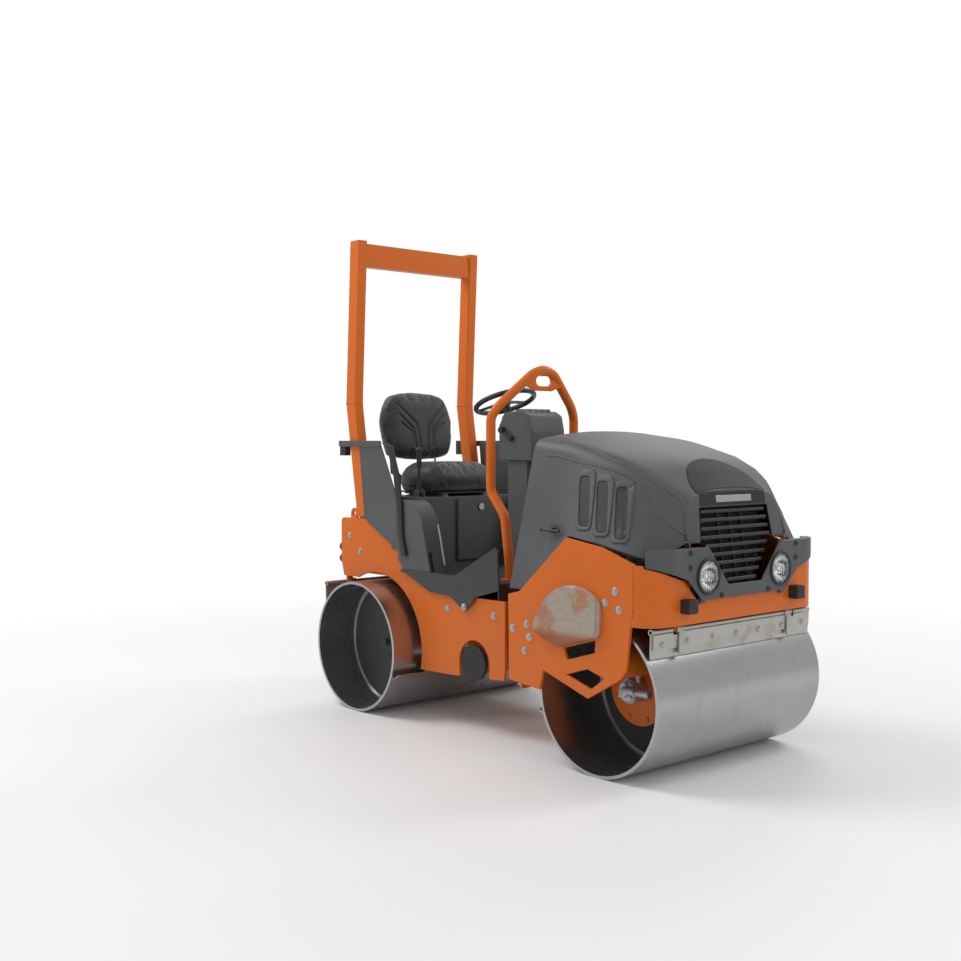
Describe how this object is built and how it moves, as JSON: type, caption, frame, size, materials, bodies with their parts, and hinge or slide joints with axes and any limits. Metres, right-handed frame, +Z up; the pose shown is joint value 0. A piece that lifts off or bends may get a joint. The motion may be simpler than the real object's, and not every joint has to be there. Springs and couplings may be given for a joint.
{
  "type": "tandem roller",
  "caption": "Ride-on tandem roller with smooth steel drums, a centre-jointed frame, an open operator place with roll bar and seat, and a tilting hood.",
  "frame": {"origin": "on the ground, midway between the two drum axes, on the steering pivot's axis and in the middle of the width", "axes": "+X forward (towards the headlamps), +Y to the machine's left, +Z up"},
  "size_m": [2.62, 1.312, 2.65],
  "materials": {
    "orange_paint": "satin orange paint",
    "dark_plastic": "dark grey moulded plastic with a fine grain",
    "dark_paint": "dark grey satin paint",
    "black_plastic": "black moulded plastic",
    "black_paint": "black paint",
    "rubber": "black rubber",
    "seat_cover": "black coated seat cover",
    "drum_steel": "bare rolled steel, worn bright by the ground",
    "bare_steel": "zinc-plated steel",
    "cast_metal": "grey cast housing",
    "cover_metal": "warm grey cast cover with a silver rim",
    "lamp_glass": "clear lamp glass",
    "red_plastic": "red push button"
  },
  "bodies": {
    "rear_module": {"rear_frame": "orange_paint", "rear_drum_carrier": "orange_paint", "rops_frame": "orange_paint", "lifting_hoop": "orange_paint", "operator_platform": "dark_paint", "seat_console": "dark_plastic", "side_panels": "dark_plastic", "dash_console": "dark_plastic", "instrument_panel": "black_plastic", "steering_column": "black_plastic", "water_tank": "dark_plastic", "rear_lights": "black_plastic", "rubber_buffers": "rubber", "rear_drum_motor": "cast_metal", "rear_bolts": "bare_steel", "steering_cylinder": "black_paint"},
    "console_door": {"console_door": "dark_plastic"},
    "door_lock": {"door_lock": "bare_steel"},
    "seat": {"seat_base": "black_paint", "seat_cushion": "seat_cover"},
    "seat_back": {"backrest_bracket": "black_paint", "seat_backrest": "seat_cover"},
    "drive_lever": {"drive_lever": "black_plastic"},
    "steering_wheel": {"steering_wheel": "black_plastic"},
    "ignition_key": {"ignition_key": "bare_steel"},
    "emergency_stop": {"emergency_stop": "red_plastic"},
    "throttle_lever": {"throttle_lever": "black_plastic"},
    "vibration_switch": {"vibration_switch": "black_plastic"},
    "water_cap": {"water_cap": "black_plastic"},
    "rear_drum": {"rear_drum": "drum_steel"},
    "rear_exciter": {"rear_exciter": "bare_steel"},
    "rear_scraper_outer": {"rear_scraper_outer": "bare_steel"},
    "rear_scraper_inner": {"rear_scraper_inner": "bare_steel"},
    "centre_link": {"centre_link": "cast_metal"},
    "steering_rod": {"steering_rod": "bare_steel"},
    "front_module": {"front_frame": "orange_paint", "front_drum_carrier": "orange_paint", "front_drum_motor": "cast_metal", "front_bolts": "bare_steel", "grille": "black_plastic", "headlight_panel": "dark_plastic", "headlamps": "black_plastic", "headlamp_lenses": "lamp_glass", "front_bumpers": "rubber", "engine": "cast_metal", "radiator": "black_paint", "hydraulic_pump": "cast_metal", "air_filter": "black_plastic", "silencer": "bare_steel", "side_cover": "cover_metal", "battery": "black_plastic", "fuel_tank": "black_plastic"},
    "front_drum": {"front_drum": "drum_steel"},
    "front_exciter": {"front_exciter": "bare_steel"},
    "front_scraper_outer": {"front_scraper_outer": "bare_steel"},
    "front_scraper_inner": {"front_scraper_inner": "bare_steel"},
    "hood": {"hood": "dark_plastic"},
    "hood_latch_right": {"hood_latch_right": "bare_steel"},
    "hood_latch_left": {"hood_latch_left": "bare_steel"},
    "cooling_fan": {"cooling_fan": "black_plastic"}
  },
  "joints": [
    {"name": "steering", "type": "hinge", "parent": "rear_module", "child": "centre_link", "pos_m": [0, 0, 0.49], "axis": [0, 0, 1], "range_deg": [-30, 30]},
    {"name": "oscillation", "type": "hinge", "parent": "centre_link", "child": "front_module", "pos_m": [0, 0, 0.49], "axis": [1, 0, 0], "range_deg": [-8, 8]},
    {"name": "steering_rod_slide", "type": "slide", "parent": "rear_module", "child": "steering_rod", "axis": [1, 0, 0], "range_m": [-0.06, 0.06]},
    {"name": "rear_drum_spin", "type": "hinge", "parent": "rear_module", "child": "rear_drum", "pos_m": [-0.92, 0, 0.36], "axis": [0, 1, 0], "continuous": true},
    {"name": "rear_exciter_spin", "type": "hinge", "parent": "rear_drum", "child": "rear_exciter", "pos_m": [-0.92, 0, 0.36], "axis": [0, 1, 0], "continuous": true},
    {"name": "rear_scraper_outer_hinge", "type": "hinge", "parent": "rear_module", "child": "rear_scraper_outer", "pos_m": [-1.22, 0, 0.684], "axis": [0, 1, 0], "range_deg": [0, 25], "stiffness_Nm_per_rad": 60, "springref_deg": -17.19},
    {"name": "rear_scraper_inner_hinge", "type": "hinge", "parent": "rear_module", "child": "rear_scraper_inner", "pos_m": [-0.45, 0, 0.3], "axis": [0, -1, 0], "range_deg": [0, 20], "stiffness_Nm_per_rad": 60, "springref_deg": -22.92},
    {"name": "front_drum_spin", "type": "hinge", "parent": "front_module", "child": "front_drum", "pos_m": [0.92, 0, 0.36], "axis": [0, 1, 0], "continuous": true},
    {"name": "front_exciter_spin", "type": "hinge", "parent": "front_drum", "child": "front_exciter", "pos_m": [0.92, 0, 0.36], "axis": [0, 1, 0], "continuous": true},
    {"name": "front_scraper_outer_hinge", "type": "hinge", "parent": "front_module", "child": "front_scraper_outer", "pos_m": [1.22, 0, 0.684], "axis": [0, -1, 0], "range_deg": [0, 25], "stiffness_Nm_per_rad": 60, "springref_deg": -17.19},
    {"name": "front_scraper_inner_hinge", "type": "hinge", "parent": "front_module", "child": "front_scraper_inner", "pos_m": [0.45, 0, 0.3], "axis": [0, 1, 0], "range_deg": [0, 20], "stiffness_Nm_per_rad": 60, "springref_deg": -22.92},
    {"name": "hood_hinge", "type": "hinge", "parent": "front_module", "child": "hood", "pos_m": [1.235, 0, 1.045], "axis": [0, 1, 0], "range_deg": [0, 50]},
    {"name": "hood_latch_right_turn", "type": "hinge", "parent": "hood", "child": "hood_latch_right", "pos_m": [0.632, -0.575, 1.092], "axis": [0, 1, 0], "range_deg": [0, 90]},
    {"name": "hood_latch_left_turn", "type": "hinge", "parent": "hood", "child": "hood_latch_left", "pos_m": [0.632, 0.575, 1.092], "axis": [0, 1, 0], "range_deg": [0, 90]},
    {"name": "fan_spin", "type": "hinge", "parent": "front_module", "child": "cooling_fan", "pos_m": [1.03, 0, 1.04], "axis": [1, 0, 0], "continuous": true},
    {"name": "console_door_hinge", "type": "hinge", "parent": "rear_module", "child": "console_door", "pos_m": [-0.6375, 0.2565, 1], "axis": [0, 0, 1], "range_deg": [0, 100]},
    {"name": "door_lock_turn", "type": "hinge", "parent": "console_door", "child": "door_lock", "pos_m": [-0.6425, 0.09, 1.128], "axis": [1, 0, 0], "range_deg": [0, 90]},
    {"name": "seat_slide", "type": "slide", "parent": "rear_module", "child": "seat", "axis": [1, 0, 0], "range_m": [-0.075, 0.075]},
    {"name": "backrest_tilt", "type": "hinge", "parent": "seat", "child": "seat_back", "pos_m": [-1.058, 0, 1.262], "axis": [0, -1, 0], "range_deg": [-5, 20]},
    {"name": "drive_lever_tilt", "type": "hinge", "parent": "rear_module", "child": "drive_lever", "pos_m": [-0.709, -0.306, 1.222], "axis": [0, 1, 0], "range_deg": [-20, 20]},
    {"name": "steering_wheel_turn", "type": "hinge", "parent": "rear_module", "child": "steering_wheel", "pos_m": [-0.334, 0, 1.719], "axis": [-0.3584, 0, 0.9336], "range_deg": [-660, 660]},
    {"name": "emergency_stop_push", "type": "slide", "parent": "rear_module", "child": "emergency_stop", "axis": [0.8462, 0, -0.5329], "range_m": [0, 0.006], "stiffness_N_per_m": 800, "springref_m": -0.003},
    {"name": "vibration_switch_turn", "type": "hinge", "parent": "rear_module", "child": "vibration_switch", "pos_m": [-0.23135, 0.036, 1.61773], "axis": [-0.8462, 0, 0.5329], "range_deg": [-45, 45]},
    {"name": "ignition_key_turn", "type": "hinge", "parent": "rear_module", "child": "ignition_key", "pos_m": [-0.23135, 0.076, 1.61773], "axis": [0.8462, 0, -0.5329], "range_deg": [0, 60]},
    {"name": "throttle_tilt", "type": "hinge", "parent": "rear_module", "child": "throttle_lever", "pos_m": [-0.15, -0.13, 1.52], "axis": [0, 1, 0], "range_deg": [0, 40]},
    {"name": "water_cap_turn", "type": "hinge", "parent": "rear_module", "child": "water_cap", "pos_m": [-1.124, 0, 1.154], "axis": [0, 0, 1], "range_deg": [0, 90]}
  ],
  "couplings": [
    {"joint": "steering_rod_slide", "follows": "steering", "m_per_rad": -0.105},
    {"joint": "steering_wheel_turn", "follows": "steering", "ratio": 21.6}
  ]
}
